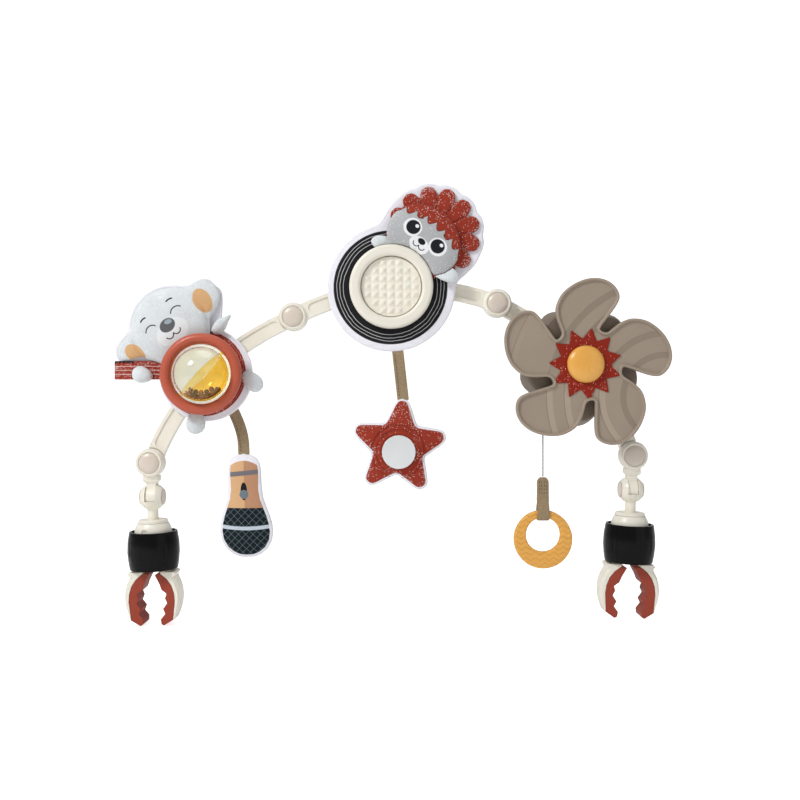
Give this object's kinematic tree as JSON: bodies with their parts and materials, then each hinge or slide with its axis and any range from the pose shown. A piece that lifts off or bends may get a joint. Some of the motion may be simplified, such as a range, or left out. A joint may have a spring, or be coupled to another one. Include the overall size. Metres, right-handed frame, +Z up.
{
  "type": "stroller arch toy",
  "caption": "Folding stroller arch on screw clamps, with a rattle ball, a disc toy and a pull-cord flower on its arms, and soft toys hanging below",
  "frame": {"origin": "centre of the left clamp's grip", "axes": "+X to the right along the arch, +Y away from the viewer along the gripped bar, +Z up"},
  "size_m": [0.5451, 0.0833, 0.4373],
  "materials": {
    "cream_plastic": "satin",
    "taupe_plastic": "satin",
    "black_plastic": "gloss",
    "jaw_rubber": "matte",
    "white_felt": "felt",
    "grey_plush": "plush with glitter",
    "red_plush": "plush with glitter",
    "ring_rubber": "satin",
    "clear_plastic": "clear gloss",
    "amber_plastic": "clear gloss",
    "bead_plastic": "gloss",
    "petal_plastic": "satin",
    "dark_plastic": "satin",
    "badge_plastic": "glitter",
    "yellow_plastic": "satin",
    "yellow_rubber": "satin",
    "khaki_ribbon": "woven",
    "cord_fabric": "braided",
    "mic_plush": "printed plush",
    "star_mirror": "mirror film"
  },
  "bodies": {
    "left_clamp": {"left_clamp_core": "cream_plastic"},
    "left_collar": {"left_clamp_collar": "black_plastic"},
    "left_plunger": {"left_clamp_plunger": "taupe_plastic"},
    "left_outer_jaw": {"left_outer_jaw": "cream_plastic", "left_outer_jaw_pad": "jaw_rubber"},
    "left_inner_jaw": {"left_inner_jaw": "cream_plastic", "left_inner_jaw_pad": "jaw_rubber"},
    "left_stem": {"left_swivel_stem": "cream_plastic", "left_tilt_pin": "taupe_plastic"},
    "left_knuckle": {"left_knuckle": "cream_plastic", "left_knee_pivot": "taupe_plastic"},
    "right_clamp": {"right_clamp_core": "cream_plastic"},
    "right_collar": {"right_clamp_collar": "black_plastic"},
    "right_plunger": {"right_clamp_plunger": "taupe_plastic"},
    "right_outer_jaw": {"right_outer_jaw": "cream_plastic", "right_outer_jaw_pad": "jaw_rubber"},
    "right_inner_jaw": {"right_inner_jaw": "cream_plastic", "right_inner_jaw_pad": "jaw_rubber"},
    "right_stem": {"right_swivel_stem": "cream_plastic", "right_tilt_pin": "taupe_plastic"},
    "right_knuckle": {"right_knuckle": "cream_plastic", "right_knee_pivot": "taupe_plastic"},
    "left_arm": {"left_arm": "cream_plastic", "rattle_clip": "cream_plastic", "rattle_backing": "white_felt", "bear_head": "grey_plush", "bear_left_paw": "grey_plush", "bear_right_paw": "grey_plush", "bear_left_foot": "grey_plush", "bear_right_foot": "grey_plush", "striped_tab": "red_plush", "rattle_ring": "ring_rubber"},
    "rattle_ball": {"rattle_clear_half": "clear_plastic", "rattle_amber_half": "amber_plastic", "rattle_beads": "bead_plastic"},
    "microphone": {"mic_ribbon": "khaki_ribbon", "toy_microphone": "mic_plush"},
    "centre_arm": {"centre_arm": "cream_plastic", "left_shoulder_pivot": "taupe_plastic", "right_shoulder_pivot": "taupe_plastic", "disc_clip": "cream_plastic", "disc_backing": "white_felt", "lion_mane": "red_plush", "lion_head": "grey_plush", "lion_left_paw": "grey_plush", "lion_right_paw": "grey_plush", "disc_ring": "cream_plastic"},
    "studded_pad": {"studded_pad": "cream_plastic"},
    "star": {"star_ribbon": "khaki_ribbon", "star_toy": "red_plush", "star_mirror": "star_mirror"},
    "right_arm": {"right_arm": "cream_plastic", "flower_housing": "dark_plastic"},
    "flower": {"cord_drum": "cream_plastic", "flower_petals": "petal_plastic", "flower_badge": "badge_plastic", "flower_button": "yellow_plastic"},
    "pull_cord": {"pull_cord": "cord_fabric"},
    "teether": {"pull_tab": "khaki_ribbon", "teether_ring": "yellow_rubber"}
  },
  "joints": [
    {"name": "left_collar_turn", "type": "hinge", "parent": "left_clamp", "child": "left_collar", "pos_m": [-0.00061, 0, 0.02899], "axis": [0.0209, 0, -0.9998], "range_deg": [-100, 80]},
    {"name": "left_plunger_slide", "type": "slide", "parent": "left_clamp", "child": "left_plunger", "axis": [-0.0209, 0, 0.9998], "range_m": [-0.0016, 0.0013]},
    {"name": "left_outer_jaw_close", "type": "hinge", "parent": "left_clamp", "child": "left_outer_jaw", "pos_m": [-0.01175, 0, 0.03576], "axis": [0, -1, 0], "range_deg": [-10, 8]},
    {"name": "left_inner_jaw_close", "type": "hinge", "parent": "left_clamp", "child": "left_inner_jaw", "pos_m": [0.01024, 0, 0.03622], "axis": [0, 1, 0], "range_deg": [-10, 8]},
    {"name": "right_collar_turn", "type": "hinge", "parent": "right_clamp", "child": "right_collar", "pos_m": [0.47357, 0, 0.03619], "axis": [-0.0332, 0, -0.9995], "range_deg": [-70, 110]},
    {"name": "right_plunger_slide", "type": "slide", "parent": "right_clamp", "child": "right_plunger", "axis": [0.0332, 0, 0.9995], "range_m": [-0.0011, 0.00175]},
    {"name": "right_outer_jaw_close", "type": "hinge", "parent": "right_clamp", "child": "right_outer_jaw", "pos_m": [0.4848, 0, 0.04282], "axis": [0, 1, 0], "range_deg": [-7, 11]},
    {"name": "right_inner_jaw_close", "type": "hinge", "parent": "right_clamp", "child": "right_inner_jaw", "pos_m": [0.46281, 0, 0.04355], "axis": [0, -1, 0], "range_deg": [-7, 11]},
    {"name": "left_swivel", "type": "hinge", "parent": "left_clamp", "child": "left_stem", "pos_m": [-0.00156, 0, 0.07448], "axis": [-0.0209, 0, 0.9998], "range_deg": [-90, 90]},
    {"name": "left_tilt", "type": "hinge", "parent": "left_stem", "child": "left_knuckle", "pos_m": [-0.0021, 0, 0.10028], "axis": [0.9998, 0, 0.0209], "range_deg": [-30, 30]},
    {"name": "left_knee", "type": "hinge", "parent": "left_knuckle", "child": "left_arm", "pos_m": [-0.00282, 0, 0.13457], "axis": [0, -1, 0], "range_deg": [-15, 30]},
    {"name": "left_shoulder", "type": "hinge", "parent": "left_arm", "child": "centre_arm", "pos_m": [0.13921, 0, 0.27961], "axis": [0, 1, 0], "range_deg": [-30, 20]},
    {"name": "right_shoulder", "type": "hinge", "parent": "centre_arm", "child": "right_arm", "pos_m": [0.34177, 0, 0.29306], "axis": [0, -1, 0], "range_deg": [-20, 30]},
    {"name": "right_knee", "type": "hinge", "parent": "right_arm", "child": "right_knuckle", "pos_m": [0.47708, 0, 0.14173], "axis": [0, 1, 0], "range_deg": [-30, 15]},
    {"name": "right_tilt", "type": "hinge", "parent": "right_knuckle", "child": "right_stem", "pos_m": [0.47594, 0, 0.10745], "axis": [0.9995, 0, -0.0332], "range_deg": [-30, 30]},
    {"name": "right_swivel", "type": "hinge", "parent": "right_stem", "child": "right_clamp", "pos_m": [0.47508, 0, 0.08166], "axis": [0.0332, 0, 0.9995], "range_deg": [-90, 90]},
    {"name": "rattle_spin", "type": "hinge", "parent": "left_arm", "child": "rattle_ball", "pos_m": [0.05284, -0.031, 0.22213], "axis": [0.7071, 0, 0.7071], "continuous": true},
    {"name": "microphone_swing", "type": "hinge", "parent": "left_arm", "child": "microphone", "pos_m": [0.08134, -0.0071, 0.18293], "axis": [1, 0, 0], "range_deg": [-35, 35]},
    {"name": "pad_turn", "type": "hinge", "parent": "centre_arm", "child": "studded_pad", "pos_m": [0.23667, 0, 0.30762], "axis": [0, -1, 0], "continuous": true},
    {"name": "star_swing", "type": "hinge", "parent": "centre_arm", "child": "star", "pos_m": [0.24307, -0.0136, 0.24402], "axis": [1, 0, 0], "range_deg": [-35, 35]},
    {"name": "flower_turn", "type": "hinge", "parent": "right_arm", "child": "flower", "pos_m": [0.42367, 0, 0.23147], "axis": [0, -1, 0], "range_deg": [0, 96]},
    {"name": "cord_pull", "type": "slide", "parent": "right_arm", "child": "pull_cord", "axis": [0, 0, -1], "range_m": [0, 0.06], "stiffness_N_per_m": 8, "springref_m": -0.05},
    {"name": "teether_swing", "type": "hinge", "parent": "pull_cord", "child": "teether", "pos_m": [0.38617, -0.0116, 0.12147], "axis": [1, 0, 0], "range_deg": [-35, 35]}
  ],
  "couplings": [
    {"joint": "left_plunger_slide", "follows": "left_collar_turn", "m_per_rad": 0.000894},
    {"joint": "left_outer_jaw_close", "follows": "left_collar_turn", "ratio": 0.1},
    {"joint": "left_inner_jaw_close", "follows": "left_collar_turn", "ratio": 0.1},
    {"joint": "right_plunger_slide", "follows": "right_collar_turn", "m_per_rad": 0.000894},
    {"joint": "right_outer_jaw_close", "follows": "right_collar_turn", "ratio": 0.1},
    {"joint": "right_inner_jaw_close", "follows": "right_collar_turn", "ratio": 0.1},
    {"joint": "flower_turn", "follows": "cord_pull", "rad_per_m": 27.473}
  ]
}
